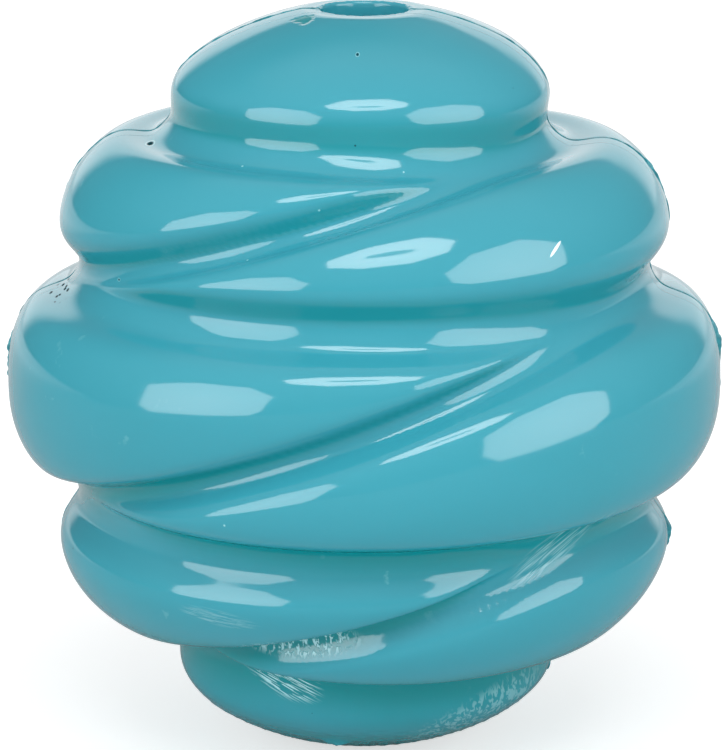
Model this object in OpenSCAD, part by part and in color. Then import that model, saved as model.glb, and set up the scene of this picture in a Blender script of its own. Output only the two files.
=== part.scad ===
// Treat dispensing ball for dogs, in soft moulded rubber. Millimetres, +Z up.
// Two half shells meet in the upright XZ plane and are held by a bond layer that stands out as flash.
// The ball stands on its lower land at z = 0, with the viewer's side towards -Y.

/* [Ball] */
// Diameter across the middle band
ball_d = 79; // [60:0.5:110]
// Height between the rounded poles, before the lands are taken off
ball_h = 83.4; // [62:0.2:114]
// Flattening of the outline halfway between a pole and the middle band
quarter_drop = 0.8; // [0:0.1:1.5]
// Least wall, left between the chamber and a groove floor
wall_t = 4.5; // [3:0.25:6]

/* [Treat holes] */
// Diameter of the round hole at each pole
hole_d = 9.5; // [6:0.25:12]
// Diameter of the flat land around each hole
land_d = 13.5; // [13:0.25:20]

/* [Bands and grooves] */
// Angle from the pole to the outer level groove
cap_angle = 38.5; // [34:0.5:44]
// Angle from the pole to the inner level groove
middle_angle = 70; // [64:0.5:75]
// Depth of a level groove
level_depth = 2.9; // [2:0.1:6]
// Half the width of a level groove, where it is half as deep
level_half_w = 3.2; // [1.5:0.1:4]
// Depth of a leaning groove
leaning_depth = 2.6; // [2:0.1:6]
// Half the width of a leaning groove, where it is half as deep
leaning_half_w = 1.8; // [1.5:0.1:4]
// Angle by which a leaning groove stays above the level grooves that it joins
leaning_lift = 2.5; // [0:0.5:5]
// Steepness of the groove walls, as the power of the groove curve
groove_power = 5; // [2:0.5:8]
// Fall of a band's shoulder beside a groove
shoulder_drop = 1.9; // [0:0.1:2.5]
// Reach of the shoulder on each side of a groove
shoulder_w = 11.5; // [6:0.5:20]
// Rounding of the shoulder over the groove floor
shoulder_round = 2; // [0.5:0.5:4]

/* [Join] */
// Thickness of the bond layer between the half shells
bond_t = 0.4; // [0.2:0.1:1]
// Height of the flash that the bond layer leaves outside
flash_h = 0.4; // [0.1:0.05:0.8]

/* [Hidden] */
middle_r = ball_d / 2;
pole_r = ball_h / 2;
hole_r = hole_d / 2;
land_r = land_d / 2;
deepest = max(level_depth, leaning_depth);
chamber_r = middle_r - deepest - 2 * shoulder_drop * shoulder_share(0) - wall_t;
overrun = 1;
// Steps of the moulded skin from land to land, and from seam to seam
pole_steps = 92;
round_steps = 32;
// Steps over which the flash grows from nothing beside a land
flash_steps = 5;
round_fn = 96;

// Radius of the outline that the bands follow, at the angle p from the pole
function outline_r(p) =
    1 / sqrt(pow(sin(p) / middle_r, 2) + pow(cos(p) / pole_r, 2)) - quarter_drop * pow(sin(2 * p), 2);
land_angle = asin(land_r / pole_r);
land_z = outline_r(land_angle) * cos(land_angle);

// A ring groove is [lean, opening, depth, half width]: the lean of its axis from +Z towards -X, and the
// angle from that axis to the groove. A level groove has no lean. A leaning one runs round the ball from
// the level groove below, whose upper wall it joins at -X, to the level groove above, which it joins at +X.
level_angles = [cap_angle, middle_angle, 180 - middle_angle, 180 - cap_angle];
ring_grooves = concat(
    [for (angle = level_angles) [0, angle, level_depth, level_half_w]],
    [for (i = [0 : len(level_angles) - 2])
        let (upper = level_angles[i], lower = level_angles[i + 1])
        [(lower - upper) / 2, (lower + upper) / 2 - leaning_lift, leaning_depth, leaning_half_w]]
);

// Direction at the angle p from the pole and the angle a round it
function direction(p, a) = [sin(p) * cos(a), sin(p) * sin(a), cos(p)];
// Distance along the ball between a direction and the middle line of a ring groove
function off_groove(u, ring) =
    let (from_axis = acos(max(-1, min(1, u * [-sin(ring[0]), 0, cos(ring[0])]))))
    abs(from_axis - ring[1]) * PI / 180 * middle_r;
// Part of the deepest groove that is left uncut at the distance s: 1 on a band, least on a groove floor
function uncut_share(s, ring) = 1 - ring[2] / deepest / (1 + pow(s / ring[3], groove_power));
// Part of the shoulder's fall at the distance s, by a squared ramp that is rounded over the groove floor
function shoulder_share(s) = pow(max(0, 1 - norm([s, shoulder_round]) / shoulder_w), 2);
function product(v, i = 0) = i == len(v) ? 1 : v[i] * product(v, i + 1);
function total(v, i = 0) = i == len(v) ? 0 : v[i] + total(v, i + 1);
// Radius of the moulded skin. The grooves are multiplied, so that they run into each other without an edge.
function skin_r(p, a) =
    let (gaps = [for (ring = ring_grooves) off_groove(direction(p, a), ring)])
    outline_r(p)
    - deepest * (1 - product([for (i = [0 : len(gaps) - 1]) uncut_share(gaps[i], ring_grooves[i])]))
    - shoulder_drop * total([for (s = gaps) shoulder_share(s)]);
// Angle from the pole of a step of the skin. The steps before the first and after the last lie in the lands.
function step_angle(i) =
    i < 0 ? atan(hole_r / 2 / land_z)
    : i > pole_steps ? 180 - atan(hole_r / 2 / land_z)
    : land_angle + i * (180 - 2 * land_angle) / pole_steps;
// Point of the flat land at the step i
function land_point(i, a) =
    let (r = i < 0 || i > pole_steps ? hole_r / 2 : land_r)
    [r * cos(a), r * sin(a), i < pole_steps / 2 ? land_z : -land_z];
function skin_point(i, a) =
    i <= 0 || i >= pole_steps ? land_point(i, a) : skin_r(step_angle(i), a) * direction(step_angle(i), a);

// Half ball on the -Y side: rows from land to land, columns from the seam at -X round to the seam at +X.
// One more row at each end crosses the land, and one more column on each side crosses the seam face. Both
// end inside the hollow, which takes their ends away.
module half_skin() {
    rows = [-1 : pole_steps + 1];
    foot = pole_steps + 1;
    right = round_steps + 1;
    points = [for (i = rows, j = [-1 : right])
        j < 0 ? chamber_r / 2 * direction(step_angle(i), 180)
        : j > round_steps ? chamber_r / 2 * direction(step_angle(i), 0)
        : skin_point(i, 180 + j * 180 / round_steps)];
    function at(i, j) = (i + 1) * (round_steps + 3) + j + 1;
    // Each square is split along its rising diagonal, as the leaning grooves rise
    triangles = [for (i = [-1 : pole_steps], j = [-1 : round_steps], upper = [true, false])
        upper ? [at(i, j), at(i, j + 1), at(i + 1, j)] : [at(i + 1, j), at(i, j + 1), at(i + 1, j + 1)]];
    lands = [[for (j = [round_steps : -1 : 0]) at(-1, j)], [for (j = [0 : round_steps]) at(foot, j)]];
    seam_ends = [
        [at(-1, 0), at(-1, -1), at(-1, right), at(-1, round_steps)],
        [at(foot, right), at(foot, -1), at(foot, 0), at(foot, round_steps)]
    ];
    seam_middle = concat([for (i = rows) at(i, -1)], [for (i = rows) at(foot - 1 - i, right)]);
    polyhedron(points, concat(triangles, lands, seam_ends, [seam_middle]), convexity = 10);
}

// The hollow inside: the round treat chamber and the two treat holes, in one turned shape
module hollow() {
    rotate_extrude($fn = round_fn) {
        intersection() {
            circle(r = chamber_r, $fn = round_fn);
            translate([0, -land_z]) square([land_z, 2 * land_z]);
        }
        translate([0, -land_z - overrun]) square([hole_r, 2 * (land_z + overrun)]);
    }
}

module half_shell() {
    translate([0, 0, land_z])
        difference() {
            translate([0, -bond_t / 2, 0]) half_skin();
            hollow();
        }
}

// Bond layer on one side of the treat holes, from the chamber out to the flash
module seam_bead(side) {
    function flash(i) = flash_h * min(1, i / flash_steps, (pole_steps - i) / flash_steps);
    function edge_r(i) = skin_r(step_angle(i), side > 0 ? 0 : 180) + flash(i);
    edge = [for (i = [1 : pole_steps - 1]) edge_r(i) * [side * sin(step_angle(i)), cos(step_angle(i))]];
    upper_end = [[0, land_z], [side * land_r, land_z]];
    lower_end = [[side * land_r, -land_z], [0, -land_z]];
    translate([0, 0, land_z])
        difference() {
            rotate([90, 0, 0])
                linear_extrude(height = bond_t, center = true) polygon(concat(upper_end, edge, lower_end));
            hollow();
        }
}

module front_half_shell() color([0.30, 0.68, 0.75]) half_shell();
module rear_half_shell() color([0.30, 0.68, 0.75]) mirror([0, 1, 0]) half_shell();
module seam_bead_left() color([0.22, 0.56, 0.62]) seam_bead(-1);
module seam_bead_right() color([0.22, 0.56, 0.62]) seam_bead(1);

front_half_shell();
rear_half_shell();
seam_bead_left();
seam_bead_right();
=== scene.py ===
import math

import bpy
import numpy as np
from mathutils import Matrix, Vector


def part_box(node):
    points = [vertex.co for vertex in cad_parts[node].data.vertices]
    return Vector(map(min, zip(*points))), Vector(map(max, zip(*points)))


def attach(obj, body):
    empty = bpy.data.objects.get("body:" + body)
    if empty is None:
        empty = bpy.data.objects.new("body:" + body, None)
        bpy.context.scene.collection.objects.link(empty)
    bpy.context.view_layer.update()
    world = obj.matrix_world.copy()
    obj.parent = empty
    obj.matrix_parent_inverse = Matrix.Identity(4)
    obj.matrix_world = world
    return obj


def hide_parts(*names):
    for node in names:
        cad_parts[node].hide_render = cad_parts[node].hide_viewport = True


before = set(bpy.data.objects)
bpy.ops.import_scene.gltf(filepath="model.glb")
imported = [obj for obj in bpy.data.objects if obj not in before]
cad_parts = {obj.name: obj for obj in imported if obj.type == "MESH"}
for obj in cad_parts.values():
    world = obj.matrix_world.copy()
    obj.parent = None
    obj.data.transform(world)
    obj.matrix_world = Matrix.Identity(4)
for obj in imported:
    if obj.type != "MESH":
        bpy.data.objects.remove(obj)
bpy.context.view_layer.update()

# Sizes of the ball in metres and degrees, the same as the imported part's. Only gentlePower is the scene's own: it
# softens the lower walls of the grooves in the upper half. The ball's centre stands centreZ above the floor.
ball = {
    "middleR": 0.0395,
    "poleR": 0.0417,
    "quarterDrop": 0.0008,
    "chamberR": 0.0295,
    "holeR": 0.00475,
    "landR": 0.00675,
    "levelAngles": (38.5, 70, 110, 141.5),
    "levelDepth": 0.0029,
    "levelHalf": 0.0032,
    "leaningDepth": 0.0026,
    "leaningHalf": 0.0018,
    "leaningLift": 2.5,
    "groovePower": 5,
    "gentlePower": 3.6,
    "shoulderDrop": 0.0019,
    "shoulderReach": 0.0115,
    "shoulderRound": 0.002,
    "bondHalf": 0.0002,
}
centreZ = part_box("front_half_shell")[1].z / 2
landAngle = math.asin(ball["landR"] / ball["poleR"])  # from the pole to the land's outer edge
rimAngle = math.atan(ball["holeR"] / centreZ)  # from the pole to the rim of the hole
sharpAngle = math.radians(50)  # edges that turn more than this stay sharp


# Rings as (lean, opening, depth, half width). A level groove has no lean. A leaning one joins two level grooves.
def ringGrooves():
    level = [math.radians(angle) for angle in ball["levelAngles"]]
    rings = [(0, angle, ball["levelDepth"], ball["levelHalf"]) for angle in level]
    lift = math.radians(ball["leaningLift"])
    for upper, lower in zip(level, level[1:]):
        rings.append(((lower - upper) / 2, (lower + upper) / 2 - lift, ball["leaningDepth"], ball["leaningHalf"]))
    return rings


# Radius of the outline: an ellipse through the pole and the middle band, less a drop halfway between them
def outlineR(p):
    ellipse = 1 / np.sqrt((np.sin(p) / ball["middleR"]) ** 2 + (np.cos(p) / ball["poleR"]) ** 2)
    return ellipse - ball["quarterDrop"] * np.sin(2 * p) ** 2


# Radius of the moulded skin at the angle p from the pole and the angle a round it, and how deep a groove is there
# from 0 to 1. Each ring takes depth / (1 + (distance / half width) ^ power), with a lower power under the rings of
# the upper half. The rings are multiplied, so that they run into each other, and the bands fall towards each groove
# by a squared ramp, which is rounded over its floor.
def skinShape(p, a):
    ux, uz = np.sin(p) * np.cos(a), np.cos(p)
    uncut, shoulders = 1, 0
    for lean, opening, depth, half in ringGrooves():
        fromAxis = np.arccos(np.clip(uz * math.cos(lean) - ux * math.sin(lean), -1, 1))
        gap = np.abs(fromAxis - opening) * ball["middleR"]
        gentle = (fromAxis > opening) & (opening < math.pi / 2)
        power = np.where(gentle, ball["gentlePower"], ball["groovePower"])
        uncut = uncut * (1 - depth / ball["levelDepth"] / (1 + (gap / half) ** power))
        ramp = 1 - np.hypot(gap, ball["shoulderRound"]) / ball["shoulderReach"]
        shoulders = shoulders + np.clip(ramp, 0, None) ** 2
    radius = outlineR(p) - ball["levelDepth"] * (1 - uncut) - ball["shoulderDrop"] * shoulders
    return radius, 1 - uncut


# A wavering line from -1 to 1 along t: sines of rising frequency and falling height, with seeded phases
def waver(t, seed, frequencies):
    rng = np.random.default_rng(seed)
    total = 0
    for frequency in frequencies:
        total = total + np.sin(frequency * t + rng.uniform(0, 2 * math.pi)) / math.sqrt(len(frequencies))
    return np.clip(total, -1, 1)


# A mesh from a grid of points whose rows close into a loop, with one flat face over the loop at each end column
def loopMesh(name, points, outwards=True):
    rows, columns = points.shape[:2]
    row, column = np.meshgrid(np.arange(rows), np.arange(columns - 1), indexing="ij")
    below = (row + 1) % rows
    quads = np.stack([row * columns + column, row * columns + column + 1,
                      below * columns + column + 1, below * columns + column], axis=-1).reshape(-1, 4)
    firstCap = np.arange(rows) * columns
    lastCap = firstCap[::-1] + columns - 1
    corners = np.concatenate([quads.ravel(), firstCap, lastCap])
    totals = np.concatenate([np.full(len(quads), 4), [rows, rows]])
    if not outwards:
        corners = corners[::-1]
        totals = totals[::-1]
    mesh = bpy.data.meshes.new(name)
    mesh.vertices.add(rows * columns)
    mesh.vertices.foreach_set("co", points.reshape(-1).astype(np.float32))
    mesh.loops.add(len(corners))
    mesh.loops.foreach_set("vertex_index", corners.astype(np.int32))
    mesh.polygons.add(len(totals))
    mesh.polygons.foreach_set("loop_start", (np.cumsum(totals) - totals).astype(np.int32))
    mesh.polygons.foreach_set("loop_total", totals.astype(np.int32))
    mesh.polygons.foreach_set("use_smooth", np.ones(len(totals), dtype=bool))
    mesh.update(calc_edges=True)
    mesh.validate()
    mesh.set_sharp_from_angle(angle=sharpAngle)
    piece = bpy.data.objects.new(name, mesh)
    bpy.context.scene.collection.objects.link(piece)
    return piece


# One value for each point of the mesh, for its material to read
def setAttribute(piece, name, values):
    layer = piece.data.attributes.new(name, "FLOAT", "POINT")
    layer.data.foreach_set("value", values.reshape(-1).astype(np.float32))


# Settings of the half shells: steps of the grid, softened edges, how far the moulding is from perfect, and how the
# painted shade, a deeper colour, lies under what stands out
shell = {
    "capRows": 20,
    "skinRows": 410,
    "capEnd": 31,
    "columns": 190,
    "seamCrowding": 0.88,
    "chamberRows": 40,
    "wallRows": 5,
    "landRows": 5,
    "rimRows": 6,
    "rimRound": 0.00035,
    "seamRound": 0.00022,
    "rimLip": 0.00004,
    "lipWaves": (5, 11, 23, 41),
    "swell": 0.00003,
    "swellTurns": ((3, 2), (1, -3)),
    "swellWaves": ((1, 2.3, 3.1), (1, 1.7)),
    "footFrom": 149,
    "footReach": 4,
    "footGrain": 0.00007,
    "grainTurns": ((90, 35), (-20, 40)),
    "grainWaves": ((1, 1.9, 3.7), (1, 2.2)),
    "nibHeight": 0.0005,
    "nibPolar": 156.5,
    "nibRound": 262,
    "nibHalf": (1.1, 4.5),
    "nibRagged": 0.4,
    "nibWaves": (60, 110, 170),
    "slopeStep": 0.002,
    "wallShade": 0.6,
    "wallFade": 2,
    "coverRows": (4, 120, 4),
    "coverLow": 0.36,
    "coverSpan": 0.4,
    "leastDrop": 0.000001,
}


# Two wavering lines across each other, multiplied into a patchy surface. Each runs along a sum of both angles.
def patches(p, a, seed, turns, waves):
    (firstP, firstA), (secondP, secondA) = turns
    return waver(firstP * p + firstA * a, seed, waves[0]) * waver(secondP * p + secondA * a, seed + 1, waves[1])


# How far the skin overhangs, from 0 to 1: the fall of its radius towards the foot, as a slope
def overhang(p, a):
    step = shell["slopeStep"]
    above, below = skinShape(p - step, a)[0], skinShape(p + step, a)[0]
    return np.clip((above - below) / (above + below) / step, 0, 1)


# How far the skin above covers each point, from 0 to 1: the widest angle from straight up, in each upright column,
# at which a point higher up stands out beyond it
def coverFrom(r, z):
    cover = np.zeros_like(r)
    for rows in range(*shell["coverRows"]):
        out, up = r[:-rows] - r[rows:], np.maximum(z[:-rows] - z[rows:], shell["leastDrop"])
        cover[rows:] = np.maximum(cover[rows:], np.arctan2(out, up) / (math.pi / 2))
    return np.clip(cover, 0, 1)


# Moulded skin of one half: the formula's radius, with a faint swell, grain on the foot, and a ragged nib there on the
# front. It gives the radius, and the painted shade: how deep the colour is on walls that overhang and under bands
# that stand out.
def mouldedSkin(p, a, side, seed):
    skin, groove = skinShape(p, a)
    onFoot = np.clip((np.degrees(p) - shell["footFrom"]) / shell["footReach"], 0, 1)
    skin = skin + shell["swell"] * patches(p, a, seed + 1, shell["swellTurns"], shell["swellWaves"])
    skin = skin + onFoot * shell["footGrain"] * patches(p, a, seed + 3, shell["grainTurns"], shell["grainWaves"])
    if side < 0:
        downNib = (np.degrees(p) - shell["nibPolar"]) / shell["nibHalf"][0]
        roundNib = (np.degrees(a) - shell["nibRound"]) / shell["nibHalf"][1]
        ragged = 1 + shell["nibRagged"] * waver(a, seed + 5, shell["nibWaves"])
        skin = skin + shell["nibHeight"] * ragged * np.exp(-roundNib ** 4 - downNib ** 2)
    # Painted shade: the colour deepens on overhanging groove walls and where bands above stand out over the skin
    wall = overhang(p, a) * shell["wallShade"] * np.clip(groove * shell["wallFade"], 0, 1)
    cover = coverFrom(skin * np.sin(p), skin * np.cos(p))
    return skin, np.maximum(wall, np.clip((cover - shell["coverLow"]) / shell["coverSpan"], 0, 1))


# Half shell on one side of the seam. Its profile is a closed line in the radius and height: up the hole's wall,
# over the rounded rim, the flat land and the moulded skin to the lower rim, and back through the chamber.
# The profile turns half way round the axis, in columns that crowd towards the seam.
def halfShell(name, side, seed):
    step = np.linspace(0, 1, shell["columns"])
    turn = step - shell["seamCrowding"] * np.sin(2 * math.pi * step) / (2 * math.pi)
    a = math.pi * (1 + turn)[None, :]
    rim, rimR = shell["rimRound"], ball["holeR"] + shell["rimRound"]
    bend = np.linspace(0, math.pi / 2, shell["rimRows"])[:, None]
    lip = shell["rimLip"] * (1 + waver(a, seed, shell["lipWaves"]))
    rimX = rimR - rim * np.cos(bend) + 0 * a
    rimZ = centreZ - rim + (rim + lip * np.sin(bend)) * np.sin(bend)
    landX = np.linspace(rimR, ball["landR"], shell["landRows"] + 1)[1:, None] + 0 * a
    landZ = centreZ + lip * np.clip(1 - (landX - rimR) / rim, 0, 1)
    capEnd = math.radians(shell["capEnd"])
    p = np.concatenate([np.linspace(landAngle, capEnd, shell["capRows"])[1:-1],
                        np.linspace(capEnd, math.pi - landAngle, shell["skinRows"])[:-1]])[:, None]
    skin, shade = mouldedSkin(p, a, side, seed)
    outerR = np.concatenate([rimX, landX, skin * np.sin(p), landX[::-1], rimX[::-1]])
    footZ = np.minimum(np.concatenate([landZ[::-1], rimZ[::-1]]), centreZ)
    outerZ = np.concatenate([rimZ, landZ, skin * np.cos(p), -footZ])
    fall = np.clip(1 - np.abs(outerR * np.sin(a)) / shell["seamRound"], 0, 1)
    shrink = 1 - shell["seamRound"] * (1 - np.sqrt(1 - fall ** 2)) / np.hypot(outerR, outerZ)
    mouth = math.asin(ball["holeR"] / ball["chamberR"])
    chamber = np.linspace(math.pi - mouth, mouth, shell["chamberRows"])[:, None]
    wallZ = np.linspace(centreZ - rim, ball["chamberR"] * math.cos(mouth), shell["wallRows"] + 1)[1:-1, None]
    wallR = ball["holeR"] + 0 * wallZ
    innerR = np.concatenate([wallR, ball["chamberR"] * np.sin(chamber), wallR])
    innerZ = np.concatenate([-wallZ, ball["chamberR"] * np.cos(chamber), wallZ[::-1]])
    r = np.concatenate([outerR * shrink, innerR + 0 * a])
    z = np.concatenate([outerZ * shrink, innerZ + 0 * a])
    offSeam = ball["bondHalf"] * (np.arange(len(r)) < len(outerR))[:, None]
    y = np.minimum(r * np.sin(a) - offSeam, -ball["bondHalf"])
    piece = loopMesh(name, np.stack([r * np.cos(a), -side * y, z + centreZ], axis=-1), outwards=side < 0)
    # Painted shade for the material, on the skin rows only
    shaded = np.zeros_like(r)
    firstSkin = len(rimX) + len(landX)
    shaded[firstSkin:firstSkin + len(skin)] = shade
    setAttribute(piece, "shaded", shaded)
    return piece


# Settings of the seam beads: steps, least sizes, the flash as (polar angle, half length, height) on each side, and
# the section across the blade, as shares of half its thickness: its width, and its rise and sink at the skin
bead = {
    "rows": 520,
    "endGap": 0.002,
    "leastCosine": 0.1,
    "leastWall": 0.00001,
    "low": 0.00006,
    "uneven": 0.00004,
    "unevenWaves": (31, 57, 95, 160),
    "ragged": 0.25,
    "raggedWaves": (90, 150, 260),
    "flashLeft": ((88, 4.2, 0.00042), (121, 5, 0.00012)),
    "flashRight": ((83, 2.6, 0.0003), (53, 3, 0.00012), (117.5, 2.2, 0.00035), (137.5, 2.0, 0.00025),
                   (149, 1.6, 0.00035)),
    "acrossShares": (-1, -1, -0.8, -0.35, 0.35, 0.8, 1, 1),
    "riseShares": (0, 0, 0.7, 1, 1, 0.7, 0, 0),
    "sinkShares": (0, -1, 0, 0, 0, 0, -1, 0),
}


# Bond layer on one side of the holes: a thin upright blade from the chamber out to the skin, with a rounded edge
# that stands out as low flash, and higher where the mould let more through.
def seamBead(name, side, seed, flash):
    firstP = rimAngle + bead["endGap"]
    p = np.linspace(firstP, math.pi - firstP, bead["rows"])[:, None]
    skin = skinShape(p, np.full_like(p, 0 if side > 0 else math.pi))[0]
    onLand = (p < landAngle) | (p > math.pi - landAngle)
    outer = np.where(onLand, centreZ / np.maximum(np.abs(np.cos(p)), bead["leastCosine"]), skin)
    inner = np.maximum(ball["holeR"] / np.sin(p), ball["chamberR"])
    inner = np.minimum(inner, outer - bead["leastWall"])
    height = bead["low"] + bead["uneven"] * waver(p, seed, bead["unevenWaves"])
    ragged = 1 + bead["ragged"] * waver(p, seed + 1, bead["raggedWaves"])
    for angle, half, top in flash:
        height = height + top * ragged * np.exp(-((np.degrees(p) - angle) / half) ** 4)
    across, rise, sink = [np.array([bead[share]]) for share in ("acrossShares", "riseShares", "sinkShares")]
    atSkin = outer + sink * ball["bondHalf"] + rise * height
    inside = np.array([[True] + [False] * (across.size - 2) + [True]])
    reach = np.where(inside, inner, atSkin)
    y = across * ball["bondHalf"] + 0 * reach
    points = np.stack([side * reach * np.sin(p), y, reach * np.cos(p) + centreZ], axis=-1)
    return loopMesh(name, np.swapaxes(points, 0, 1), outwards=side < 0)


# Wraps a socket of a shader tree. Sums of wrapped sockets and numbers add Math nodes.
class Shade:
    def __init__(self, tree, socket=None):
        self.tree, self.socket = tree, socket

    def node(self, kind, settings=None, sockets=None, output=0):
        made = self.tree.nodes.new(kind)
        for name, value in (settings or {}).items():
            setattr(made, name, value)
        for name, value in (sockets or {}).items():
            if isinstance(value, Shade):
                self.tree.links.new(value.socket, made.inputs[name])
            else:
                made.inputs[name].default_value = value
        return Shade(self.tree, made.outputs[output] if made.outputs else None)

    def maths(self, operation, *values):
        return self.node("ShaderNodeMath", {"operation": operation}, dict(enumerate(values)))

    def __add__(self, other):
        return self.maths("ADD", self, other)

    def __radd__(self, other):
        return self.maths("ADD", other, self)

    def __sub__(self, other):
        return self.maths("SUBTRACT", self, other)

    def __rsub__(self, other):
        return self.maths("SUBTRACT", other, self)

    def __mul__(self, other):
        return self.maths("MULTIPLY", self, other)

    def __rmul__(self, other):
        return self.maths("MULTIPLY", other, self)

    def larger(self, other):
        return self.maths("MAXIMUM", self, other)

    def absolute(self):
        return self.maths("ABSOLUTE", self)

    # From 0 at low to 1 at high, smoothly
    def step(self, low, high):
        return self.node("ShaderNodeMapRange", {"interpolation_type": "SMOOTHSTEP"},
                         {"Value": self, "From Min": low, "From Max": high})

    # From 1 at low to 0 at high, smoothly
    def fade(self, low, high):
        return 1 - self.step(low, high)

    def mixed(self, first, second):
        return self.node("ShaderNodeMix", {"data_type": "RGBA"}, {0: self, 6: first, 7: second}, 2)

    def length(self):
        return self.node("ShaderNodeVectorMath", {"operation": "LENGTH"}, {0: self}, "Value")

    def scaled(self, scale, rotation=(0, 0, 0)):
        return self.node("ShaderNodeMapping", None, {"Vector": self, "Rotation": rotation, "Scale": scale})

    def noise(self, scale, detail=2, distortion=0):
        return self.node("ShaderNodeTexNoise", None,
                         {"Vector": self, "Scale": scale, "Detail": detail, "Distortion": distortion})

    def cells(self, scale, output=0):
        return self.node("ShaderNodeTexVoronoi", None, {"Vector": self, "Scale": scale}, output)


# A material whose tree is empty, and the wrapper that fills it
def newMaterial(name):
    material = bpy.data.materials.new(name)
    material.use_nodes = True
    material.node_tree.nodes.clear()
    return material, Shade(material.node_tree)


# Settings of the rubber. Colours are scene-linear. A mark is (x, y, z from the ball's centre in millimetres, slope in
# degrees, half length and half width in millimetres), and a scratch or chatter mark has its strength after them. A dot
# is (x, y, z, radius). A pair is where a pattern starts and where it is whole. Stroke noise is (scale, detail, bend).
rubber = {
    "bandColour": (0.041, 0.328, 0.416, 1),
    # A deeper teal: the painted shade under overhangs and bands, and also the colour of the dent's blemish
    "shadeAndBlemishColour": (0.001, 0.262, 0.292, 1),
    "scuffColour": (0.20, 0.55, 0.62, 1),
    "scratchColour": (0.50, 0.84, 0.90, 1),
    # Painted highlight: the near-white colour of the nick stands in for a lamp's glint on it
    "paintedGlintColour": (0.80, 0.97, 1.0, 1),
    "speckColour": (0.35, 0.75, 0.80, 1),
    "gritColour": (0.006, 0.055, 0.07, 1),
    "bondDark": (0.008, 0.18, 0.22, 1),
    "bondPale": (0.03, 0.32, 0.38, 1),
    "roughness": 0.07,
    "cloudRoughness": 0.03,
    "scuffRoughness": 0.3,
    "specular": 0.5,
    "shadedPair": (0.05, 0.95),
    "cloudScale": 60,
    "cloudColour": 0.3,
    "cloudPair": (0.4, 0.8),
    "scuffScale": 420,
    "scuffPair": (0.66, 0.74),
    "scuffPatchScale": 55,
    "scuffPatchPair": (0.55, 0.7),
    "scuffs": 0.5,
    "linePair": (0.50, 0.57),
    "scratchShape": (0.9, 0.9, 8.5),
    "scratchTurn": 0,
    "scratchNoise": (2.2, 1, 0.2),
    "scratchPair": (0.6, 1.05),
    "scratches": (
        (-8.2, -20.0, -28.7, 25, 5.4, 2.5, 1),
        (22, -24, -12.3, -36, 7.5, 2.0, 0.45),
        (-13.6, -30, -18.8, 6, 5.0, 1.1, 0.3),
    ),
    "chatterShape": (13, 13, 1.3),
    "chatterTurn": 0.35,
    "chatterNoise": (1.5, 2, 0.7),
    "chatterPair": (0.55, 1.0),
    "chatter": (
        (-5.6, -26.5, -22.4, -8, 8.2, 2.1, 1),
        (13, -13, -34.5, -20, 11.0, 3.2, 0.35),
    ),
    "spotScale": 190,
    "speckPair": (0.018, 0.035),
    "speckPick": (0.78, 0.79),
    "gritPair": (0.012, 0.028),
    "gritPick": (0.12, 0.13),
    "pitShape": (1, 0.35, 1),
    "pitScale": 1500,
    "pitPair": (0.22, 0.36),
    "pits": (-33.1, -5.5, 10.3, 0, 1.9, 1.9),
    "pitsPair": (0.6, 1.0),
    "nickAndGlint": (21.0, -26.2, 20.2, -52, 1.3, 0.2),
    "nickPair": (0.8, 1.0),
    "dent": (-6.2, -5.4, 40.3, -8, 1.8, 1.2),
    "dentPair": (0.6, 0.9),
    "paleDots": ((-3.38, -27.83, 24.51, 0.2), (-11.86, -20.09, 27.39, 0.14), (-12.76, -35.3, -7.31, 0.2)),
    "darkDots": ((-22.85, -7.39, 27.29, 0.4), (-0.04, -14.47, 38.42, 0.18), (-25.18, -18.69, 14.78, 0.14)),
    "paleDotPair": (0.7, 1.2),
    "darkDotPair": (0.6, 1.0),
    "dotRimPairs": ((0.9, 1.1), (1.2, 1.5)),
    "dotRim": 0.6,
    "witnessY": -0.0031,
    "witnessPair": (0.00003, 0.00012),
    "fineScale": 900,
    "paint": {"scuff": 0.7, "line": 0.85, "dent": 0.8},
    "heights": {"fine": 0.02, "scuff": 0.4, "line": 0.9, "speck": 0.6, "witness": 1.2, "dent": 2},
    "bumpStrength": 0.6,
    "bumpDistance": 0.00006,
    "bondRoughness": 0.22,
    "grainScale": 1500,
    "grainPair": (0.3, 0.75),
    "grainRoughness": 0.2,
    "grainStrength": 0.4,
    "grainDistance": 0.00005,
}


# Coordinates in a mark: it stands at the origin, lies along x, and reaches 1 at its ends
def inMark(coords, mark):
    x, y, z, slope, halfLength, halfWidth = mark[:6]
    return coords.node("ShaderNodeMapping", {"vector_type": "TEXTURE"}, {
        "Vector": coords,
        "Location": (x / 1000, y / 1000, z / 1000 + centreZ),
        "Rotation": (0, math.radians(slope), 0),
        "Scale": (halfLength / 1000, halfLength / 1000, halfWidth / 1000),
    })


# Fine lines in the marks of a kind, scratches or chatter, stretched or turned into strokes that fade towards the ends
def strokes(coords, marks, kind, lines):
    for mark in marks:
        local = inMark(coords, mark)
        line = local.scaled(rubber[kind + "Shape"], (0, rubber[kind + "Turn"], 0)).noise(*rubber[kind + "Noise"])
        lines = lines.larger(line.step(*rubber["linePair"]) * local.length().fade(*rubber[kind + "Pair"]) * mark[6])
    return lines
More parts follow.
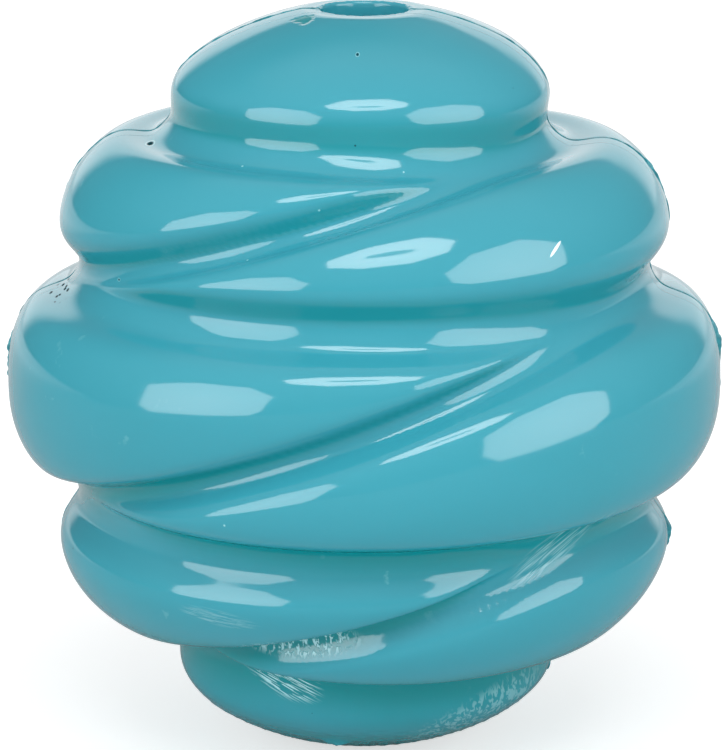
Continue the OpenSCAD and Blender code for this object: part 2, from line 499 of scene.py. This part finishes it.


# Gloss rubber of the shells. Clouds vary the colour, and painted shade deepens it on overhanging walls and under what
# stands out above. Scratches, chatter marks, specks and a witness line vary the colour, the roughness and the bump, a
# nick has a painted highlight, and grit and pits are dull dark holes in the gloss.
def shellRubber(name, worn):
    material, tree = newMaterial(name)
    coords = tree.node("ShaderNodeTexCoord", output="Object")
    # Painted shade: where the skin is overhung, the band colour deepens towards a deeper teal, with clouds of random
    # tone
    shaded = tree.node("ShaderNodeAttribute", {"attribute_name": "shaded"}, output="Fac").step(*rubber["shadedPair"])
    clouds = coords.noise(rubber["cloudScale"], 3)
    shadeAndClouds = shaded + (clouds - 0.5) * rubber["cloudColour"]
    colour = shadeAndClouds.mixed(rubber["bandColour"], rubber["shadeAndBlemishColour"])
    scuffs = coords.noise(rubber["scuffScale"], 4).step(*rubber["scuffPair"])
    scuffs = scuffs * coords.noise(rubber["scuffPatchScale"]).step(*rubber["scuffPatchPair"]) * rubber["scuffs"]
    pick = coords.cells(rubber["spotScale"], "Color")
    pick = pick.node("ShaderNodeSeparateColor", None, {"Color": pick})
    spots = coords.cells(rubber["spotScale"])
    speck = spots.fade(*rubber["speckPair"]) * pick.step(*rubber["speckPick"])
    grit = spots.fade(*rubber["gritPair"]) * pick.fade(*rubber["gritPick"])
    fine = coords.noise(rubber["fineScale"])
    lines = scuffs * 0
    if worn:
        lines = strokes(coords, rubber["scratches"], "scratch", lines)
        lines = strokes(coords, rubber["chatter"], "chatter", lines)
        inPits = inMark(coords, rubber["pits"]).scaled(rubber["pitShape"]).length().fade(*rubber["pitsPair"])
        pits = coords.scaled(rubber["pitShape"]).cells(rubber["pitScale"]).fade(*rubber["pitPair"])
        grit = grit.larger(pits * inPits)
        for x, y, z, r in rubber["paleDots"]:
            speck = speck.larger(inMark(coords, (x, y, z, 0, r, r)).length().fade(*rubber["paleDotPair"]))
        for x, y, z, r in rubber["darkDots"]:
            fromDot = inMark(coords, (x, y, z, 0, r, r)).scaled(rubber["pitShape"]).length()
            grit = grit.larger(fromDot.fade(*rubber["darkDotPair"]))
            rimStart, rimEnd = rubber["dotRimPairs"]
            speck = speck.larger(fromDot.step(*rimStart) * fromDot.fade(*rimEnd) * rubber["dotRim"])
    paint, heights = rubber["paint"], rubber["heights"]
    colour = (scuffs * paint["scuff"]).mixed(colour, rubber["scuffColour"])
    colour = (lines * paint["line"]).mixed(colour, rubber["scratchColour"])
    colour = speck.mixed(colour, rubber["speckColour"])
    colour = grit.mixed(colour, rubber["gritColour"])
    height = fine * heights["fine"] + scuffs * heights["scuff"] + lines * heights["line"] + speck * heights["speck"]
    if worn:
        # A nick: a bump, and a painted highlight in near-white where a lamp's glint would be
        nickAndGlint = inMark(coords, rubber["nickAndGlint"]).length().fade(*rubber["nickPair"])
        dent = (inMark(coords, rubber["dent"]).length() + (fine - 0.5)).fade(*rubber["dentPair"])
        colour = nickAndGlint.mixed(colour, rubber["paintedGlintColour"])
        colour = (dent * paint["dent"]).mixed(colour, rubber["shadeAndBlemishColour"])
        y = coords.node("ShaderNodeSeparateXYZ", None, {"Vector": coords}, "Y")
        witness = (y - rubber["witnessY"]).absolute().fade(*rubber["witnessPair"])
        height = height + witness * heights["witness"] - dent * heights["dent"] + nickAndGlint
    roughness = rubber["roughness"] + clouds.step(*rubber["cloudPair"]) * rubber["cloudRoughness"]
    roughness = roughness + scuffs.larger(lines) * rubber["scuffRoughness"]
    bump = tree.node("ShaderNodeBump", None, {
        "Strength": rubber["bumpStrength"], "Distance": rubber["bumpDistance"], "Height": height,
    })
    gloss = tree.node("ShaderNodeBsdfPrincipled", None, {
        "Base Color": colour, "Roughness": roughness, "Normal": bump, "Specular IOR Level": rubber["specular"],
    })
    hole = tree.node("ShaderNodeBsdfDiffuse", None, {"Color": rubber["gritColour"]})
    surface = tree.node("ShaderNodeMixShader", None, {0: grit, 1: gloss, 2: hole})
    tree.node("ShaderNodeOutputMaterial", None, {"Surface": surface})
    return material


# Bond rubber of the seam beads: deeper and duller than the shells, with fine grains
def beadRubber():
    material, tree = newMaterial("bondRubber")
    grains = tree.node("ShaderNodeTexCoord", output="Object").noise(rubber["grainScale"], 3)
    bump = tree.node("ShaderNodeBump", None, {
        "Strength": rubber["grainStrength"], "Distance": rubber["grainDistance"], "Height": grains,
    })
    surface = tree.node("ShaderNodeBsdfPrincipled", None, {
        "Base Color": grains.step(*rubber["grainPair"]).mixed(rubber["bondDark"], rubber["bondPale"]),
        "Roughness": rubber["bondRoughness"] + grains * rubber["grainRoughness"],
        "Normal": bump,
    })
    tree.node("ShaderNodeOutputMaterial", None, {"Surface": surface})
    return material


frontRubber, rearRubber, bondRubber = shellRubber("frontRubber", True), shellRubber("rearRubber", False), beadRubber()
pieces = (
    (halfShell("frontShell", -1, 11), frontRubber, "front_half_shell", "ball_rubber"),
    (halfShell("rearShell", 1, 29), rearRubber, "rear_half_shell", "ball_rubber"),
    (seamBead("seamBeadLeft", -1, 41, bead["flashLeft"]), bondRubber, "seam_bead_left", "bond_rubber"),
    (seamBead("seamBeadRight", 1, 53, bead["flashRight"]), bondRubber, "seam_bead_right", "bond_rubber"),
)
for piece, material, node, slotName in pieces:
    piece.data.materials.append(material)
    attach(piece, "root")
    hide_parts(node)
    print(piece.name, "has", len(piece.data.polygons), "faces")

# Settings of the studio. A softbox is (name, degrees to the right of the camera's bearing, degrees up, distance and
# half sizes in metres, strength, dark lamp head's share). A gloss level is what the gloss sees of the room there.
studio = {
    "cameraTurn": 2.7,
    "cameraRise": 14.3,
    "cameraDistance": 0.4459,
    "lens": 192.2,
    "sensor": 36,
    "shiftX": -0.0019,
    "shiftY": -0.0018,
    "clip": (0.01, 20),
    "softboxes": (
        ("leftSoftbox", -50, 13, 1.3, (0.60, 0.62), 2.8, 0),
        ("rightSoftbox", 55, 16, 1.3, (0.64, 0.66), 2.75, 0),
        ("topSoftbox", 4, 58, 1.3, (0.50, 0.34), 4.7, 0.14),
    ),
    "boxSides": 8,
    "boxMiddle": 1.06,
    "boxFall": 0.16,
    "boxGloss": 0.85,
    "headShape": (2.2, 1, 1),
    "headEdge": 1.3,
    "headDark": 0.8,
    "floorHalf": 4.0,
    "floorColour": (0.8, 0.8, 0.8, 1),
    "floorDark": (0.55, 0.55, 0.55, 1),
    "floorWhite": (0.6, 0.6, 0.6, 1),
    "floorGlow": 0.62,
    "behindPair": (0.1, 0.4),
    "behindShare": 0.7,
    "whiteLevel": 1.0,
    "roomLevel": 0.46,
    "leftFill": 0.3,
    "fillPair": (-0.9, 0.2),
    "glossLow": 0.22,
    "glossHigh": 0.8,
    "glossPair": (-0.6, 1.0),
    "sweepLevel": 1.25,
    "sweepPair": (0.80, 0.90),
    "sweepTopPair": (0.36, 0.44),
    "sidePair": (-0.1, 0.2),
    "leftShade": 0.7,
    "leftPair": (-0.4, 0.7),
    "rightShade": 0.45,
    "rightPair": (0, 0.75),
    "shadeTopPair": (0.7, 0.95),
}


# Direction from the ball, by degrees to the right of the camera's bearing and degrees above the horizon
def bearing(right, up):
    turn, rise = math.radians(studio["cameraTurn"] + right), math.radians(up)
    return Vector((math.sin(turn) * math.cos(rise), -math.cos(turn) * math.cos(rise), math.sin(rise)))


# 1 for rays of these kinds and 0 for others. The three kinds given here see the backdrop, the rest the room light.
def seenRays(tree, kinds=("Camera", "Glossy", "Transmission")):
    seen = tree.node("ShaderNodeLightPath", output=f"Is {kinds[0]} Ray")
    for kind in kinds[1:]:
        seen = seen.larger(tree.node("ShaderNodeLightPath", output=f"Is {kind} Ray"))
    return seen


# A flat stage piece with one face, painted with a material of its own
def stagePiece(name, corners, material):
    mesh = bpy.data.meshes.new(name)
    mesh.from_pydata(corners, [], [range(len(corners))])
    mesh.materials.append(material)
    piece = bpy.data.objects.new(name, mesh)
    bpy.context.scene.collection.objects.link(piece)
    return piece


# An eight-sided softbox that faces the ball, brightest in the middle, with an optional dark lamp head there. Gloss
# sees it brighter than the dull surfaces do.
def softbox(name, right, up, distance, halves, strength, head):
    centre = bearing(right, up) * distance
    turn = (-centre).to_track_quat("Z", "Y").to_matrix()
    centre = centre + Vector((0, 0, centreZ))
    angles = (np.arange(studio["boxSides"]) + 0.5) * 2 * math.pi / studio["boxSides"]
    corners = [turn @ Vector((math.cos(k) * halves[0], math.sin(k) * halves[1], 0)) + centre for k in angles]
    material, tree = newMaterial(name + "Light")
    coords = tree.node("ShaderNodeTexCoord", output="Object")
    local = tree.node("ShaderNodeMapping", {"vector_type": "TEXTURE"}, {
        "Vector": coords, "Location": centre, "Rotation": turn.to_euler(), "Scale": (*halves, 1),
    })
    level = strength * (studio["boxMiddle"] - local.length() * studio["boxFall"])
    if head:
        inHead = tree.node("ShaderNodeMapping", {"vector_type": "TEXTURE"}, {
            "Vector": local, "Scale": studio["headShape"],
        }).length().fade(head, head * studio["headEdge"])
        level = level * (1 - inHead * studio["headDark"])
    level = level * (1 + seenRays(tree, ("Glossy",)) * studio["boxGloss"])
    emission = tree.node("ShaderNodeEmission", None, {"Strength": level})
    back = tree.node("ShaderNodeNewGeometry", output="Backfacing")
    surface = tree.node("ShaderNodeMixShader", None, {0: back, 1: emission})
    tree.node("ShaderNodeOutputMaterial", None, {"Surface": surface})
    stagePiece(name, corners, material).visible_camera = False


# Pale floor that keeps the ball's shadow. The camera sees it white, and so does the gloss behind the ball.
def floorPaint():
    material, tree = newMaterial("floorPaint")
    place = tree.node("ShaderNodeTexCoord", output="Object")
    offGloss = seenRays(tree, ("Glossy",))
    dull = tree.node("ShaderNodeBsdfDiffuse", None, {
        "Color": offGloss.mixed(studio["floorColour"], studio["floorDark"]),
    })
    white = tree.node("ShaderNodeBsdfDiffuse", None, {"Color": studio["floorWhite"]})
    glow = tree.node("ShaderNodeEmission", None, {"Strength": studio["floorGlow"]})
    bright = tree.node("ShaderNodeAddShader", None, {0: white, 1: glow})
    behind = tree.node("ShaderNodeSeparateXYZ", None, {"Vector": place}, "Y").step(*studio["behindPair"])
    isWhite = seenRays(tree, ("Camera", "Transmission")).larger(behind * offGloss * studio["behindShare"])
    surface = tree.node("ShaderNodeMixShader", None, {0: isWhite, 1: dull, 2: bright})
    tree.node("ShaderNodeOutputMaterial", None, {"Surface": surface})
    return material


# Room light, a little stronger from the left. The camera sees white. Gloss sees a darker room that grows lighter
# upwards, with a bright sweep behind the ball and a dark flag on each side of it.
def roomLight():
    world = bpy.data.worlds.new("studio")
    world.use_nodes = True
    world.node_tree.nodes.clear()
    tree = Shade(world.node_tree)
    direction = tree.node("ShaderNodeTexCoord", output="Generated")
    toX, toY, toZ = [tree.node("ShaderNodeSeparateXYZ", None, {"Vector": direction}, axis) for axis in "XYZ"]
    sweep = toY.step(*studio["sweepPair"]) * toZ.fade(*studio["sweepTopPair"])
    leftFlag = toY.step(*studio["leftPair"]) * toX.fade(*studio["sidePair"]) * studio["leftShade"]
    rightFlag = toY.step(*studio["rightPair"]) * toX.step(*studio["sidePair"]) * studio["rightShade"]
    rise = toZ.step(*studio["glossPair"]) * (studio["glossHigh"] - studio["glossLow"]) + studio["glossLow"]
    panels = rise * (1 - (leftFlag + rightFlag) * toZ.fade(*studio["shadeTopPair"]))
    glossy = panels + sweep * (studio["sweepLevel"] - panels)
    white = studio["whiteLevel"] + seenRays(tree, ("Glossy",)) * (glossy - studio["whiteLevel"])
    room = studio["roomLevel"] + toX.fade(*studio["fillPair"]) * studio["leftFill"]
    background = tree.node("ShaderNodeBackground", None, {
        "Color": (1, 1, 1, 1), "Strength": room + seenRays(tree) * (white - room),
    })
    tree.node("ShaderNodeOutputWorld", None, {"Surface": background})
    return world


for row in studio["softboxes"]:
    softbox(*row)
half = studio["floorHalf"]
stagePiece("floor", [(-half, -half, 0), (half, -half, 0), (half, half, 0), (-half, half, 0)], floorPaint())
bpy.context.scene.world = roomLight()
print("studio is lit")

cameraData = bpy.data.cameras.new("camera")
cameraData.sensor_width = studio["sensor"]
cameraData.lens = studio["lens"]
cameraData.shift_x, cameraData.shift_y = studio["shiftX"], studio["shiftY"]
cameraData.clip_start, cameraData.clip_end = studio["clip"]
camera = bpy.data.objects.new("camera", cameraData)
bpy.context.scene.collection.objects.link(camera)
toCamera = bearing(0, studio["cameraRise"])
camera.location = Vector((0, 0, centreZ)) + toCamera * studio["cameraDistance"]
camera.rotation_mode = "QUATERNION"
camera.rotation_quaternion = (-toCamera).to_track_quat("-Z", "Y")
bpy.context.scene.camera = camera

bpy.context.scene.view_settings.view_transform = "Standard"
